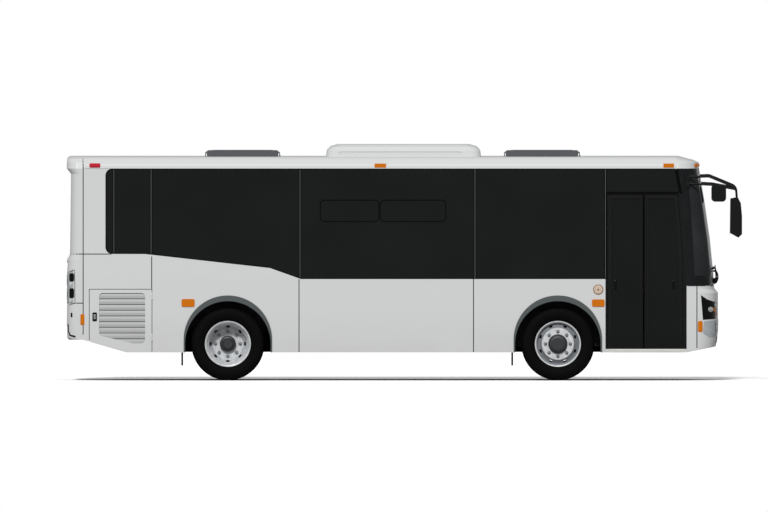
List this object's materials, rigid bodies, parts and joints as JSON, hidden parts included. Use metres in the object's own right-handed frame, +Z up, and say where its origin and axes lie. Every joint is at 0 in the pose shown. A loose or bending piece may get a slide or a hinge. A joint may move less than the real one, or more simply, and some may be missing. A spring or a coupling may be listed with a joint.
{
  "type": "single-deck city bus",
  "caption": "Low-floor single-deck city bus with a two-leaf door, dark window band, louvred radiator door, roof pod and steered front wheels.",
  "frame": {"origin": "on the road under the middle of the overall box, mirrors included", "axes": "+X forward, +Y towards the bus's left side, +Z up"},
  "size_m": [8.8287, 2.9, 3.0779],
  "materials": {
    "body_white": "satin white coach enamel",
    "mask_black": "gloss black moulding",
    "tinted_glass": "dark tinted glazing",
    "screen_glass": "clear laminated glass",
    "frame_black": "black sealing rubber and painted frame",
    "tyre_black": "moulded tyre rubber",
    "rim_silver": "machined wheel disc",
    "chassis_black": "chassis paint",
    "floor_grey": "vinyl floor covering",
    "seat_blue": "woven seat moquette",
    "rail_yellow": "powder coated tube",
    "trim_grey": "grey moulded trim",
    "lamp_clear": "clear lamp cover",
    "lamp_amber": "amber lens",
    "lamp_red": "red lens",
    "desk_grey": "moulded dashboard",
    "engine_iron": "cast engine block",
    "rubber_black": "moulded rubber",
    "hatch_grey": "dark grey moulded lid"
  },
  "bodies": {
    "root": {"right_wall": "body_white", "left_wall": "body_white", "roof_shell": "body_white", "roof_crown": "body_white", "rear_moulding": "body_white", "rear_bumper": "body_white", "front_fascia": "body_white", "front_mask": "mask_black", "windscreen": "screen_glass", "side_windows": "tinted_glass", "rear_window": "tinted_glass", "door_frame": "frame_black", "roof_pod": "body_white", "cabin_floor": "floor_grey", "wheel_boxes": "chassis_black", "chassis_frame": "chassis_black", "front_horns": "chassis_black", "cross_members": "chassis_black", "rail_brackets": "chassis_black", "front_axle": "chassis_black", "rear_axle": "chassis_black", "air_springs": "rubber_black", "arch_trims": "trim_grey", "mud_flaps": "rubber_black", "amber_lamps": "lamp_amber", "tail_lamps": "lamp_red", "headlamps": "lamp_clear", "fog_lamps": "trim_grey", "mirrors": "frame_black", "wipers": "frame_black", "destination_sign": "mask_black", "dashboard": "desk_grey", "passenger_seats": "seat_blue", "driver_seat": "seat_blue", "driver_screen": "trim_grey", "handrails": "rail_yellow", "engine_block": "engine_iron", "radiator": "chassis_black"},
    "knuckle_left": {"knuckle_left": "chassis_black"},
    "knuckle_right": {"knuckle_right": "chassis_black"},
    "front_wheel_left": {"front_rim_left": "rim_silver", "front_tyre_left": "tyre_black"},
    "front_wheel_right": {"front_rim_right": "rim_silver", "front_tyre_right": "tyre_black"},
    "rear_wheels_left": {"rear_rims_left": "rim_silver", "rear_tyres_left": "tyre_black"},
    "rear_wheels_right": {"rear_rims_right": "rim_silver", "rear_tyres_right": "tyre_black"},
    "door_front": {"door_leaf_front": "frame_black", "door_glass_front": "screen_glass"},
    "door_rear": {"door_leaf_rear": "frame_black", "door_glass_rear": "screen_glass"},
    "radiator_flap": {"radiator_door": "body_white"},
    "engine_flap": {"engine_door": "body_white"},
    "hatch_front": {"roof_hatch_front": "hatch_grey"},
    "hatch_rear": {"roof_hatch_rear": "hatch_grey"},
    "steering": {"steering_wheel": "rubber_black"}
  },
  "joints": [
    {"name": "steer_left", "type": "hinge", "parent": "root", "child": "knuckle_left", "pos_m": [2.006, 0.925, 0.478], "axis": [0, 0, 1], "range_deg": [-38, 38]},
    {"name": "steer_right", "type": "hinge", "parent": "root", "child": "knuckle_right", "pos_m": [2.006, -0.925, 0.478], "axis": [0, 0, 1], "range_deg": [-38, 38]},
    {"name": "spin_front_left", "type": "hinge", "parent": "knuckle_left", "child": "front_wheel_left", "pos_m": [2.006, 1.035, 0.478], "axis": [0, 1, 0], "continuous": true},
    {"name": "spin_front_right", "type": "hinge", "parent": "knuckle_right", "child": "front_wheel_right", "pos_m": [2.006, -1.035, 0.478], "axis": [0, 1, 0], "continuous": true},
    {"name": "spin_rear_left", "type": "hinge", "parent": "root", "child": "rear_wheels_left", "pos_m": [-2.308, 1.035, 0.478], "axis": [0, 1, 0], "continuous": true},
    {"name": "spin_rear_right", "type": "hinge", "parent": "root", "child": "rear_wheels_right", "pos_m": [-2.308, -1.035, 0.478], "axis": [0, 1, 0], "continuous": true},
    {"name": "turn_steering_wheel", "type": "hinge", "parent": "root", "child": "steering", "pos_m": [3.45, 0.7, 1.17], "axis": [-0.3576, 0, 0.9339], "range_deg": [-720, 720]},
    {"name": "swing_door_front", "type": "hinge", "parent": "root", "child": "door_front", "pos_m": [3.639, -1.227, 1.4], "axis": [0, 0, 1], "range_deg": [0, 90]},
    {"name": "swing_door_rear", "type": "hinge", "parent": "root", "child": "door_rear", "pos_m": [2.658, -1.227, 1.4], "axis": [0, 0, -1], "range_deg": [0, 90]},
    {"name": "swing_radiator_door", "type": "hinge", "parent": "root", "child": "radiator_flap", "pos_m": [-3.3, -1.227, 0.8], "axis": [0, 0, 1], "range_deg": [0, 95]},
    {"name": "lift_engine_door", "type": "hinge", "parent": "root", "child": "engine_flap", "pos_m": [-4.408, 0, 1.564], "axis": [0, 1, 0], "range_deg": [0, 75]},
    {"name": "lift_hatch_front", "type": "hinge", "parent": "root", "child": "hatch_front", "pos_m": [2.303, 0, 2.928], "axis": [0, 1, 0], "range_deg": [0, 60]},
    {"name": "lift_hatch_rear", "type": "hinge", "parent": "root", "child": "hatch_rear", "pos_m": [-1.618, 0, 2.928], "axis": [0, 1, 0], "range_deg": [0, 60]}
  ],
  "couplings": [
    {"joint": "steer_right", "follows": "steer_left", "ratio": 1},
    {"joint": "turn_steering_wheel", "follows": "steer_left", "ratio": 18},
    {"joint": "swing_door_rear", "follows": "swing_door_front", "ratio": 1}
  ]
}
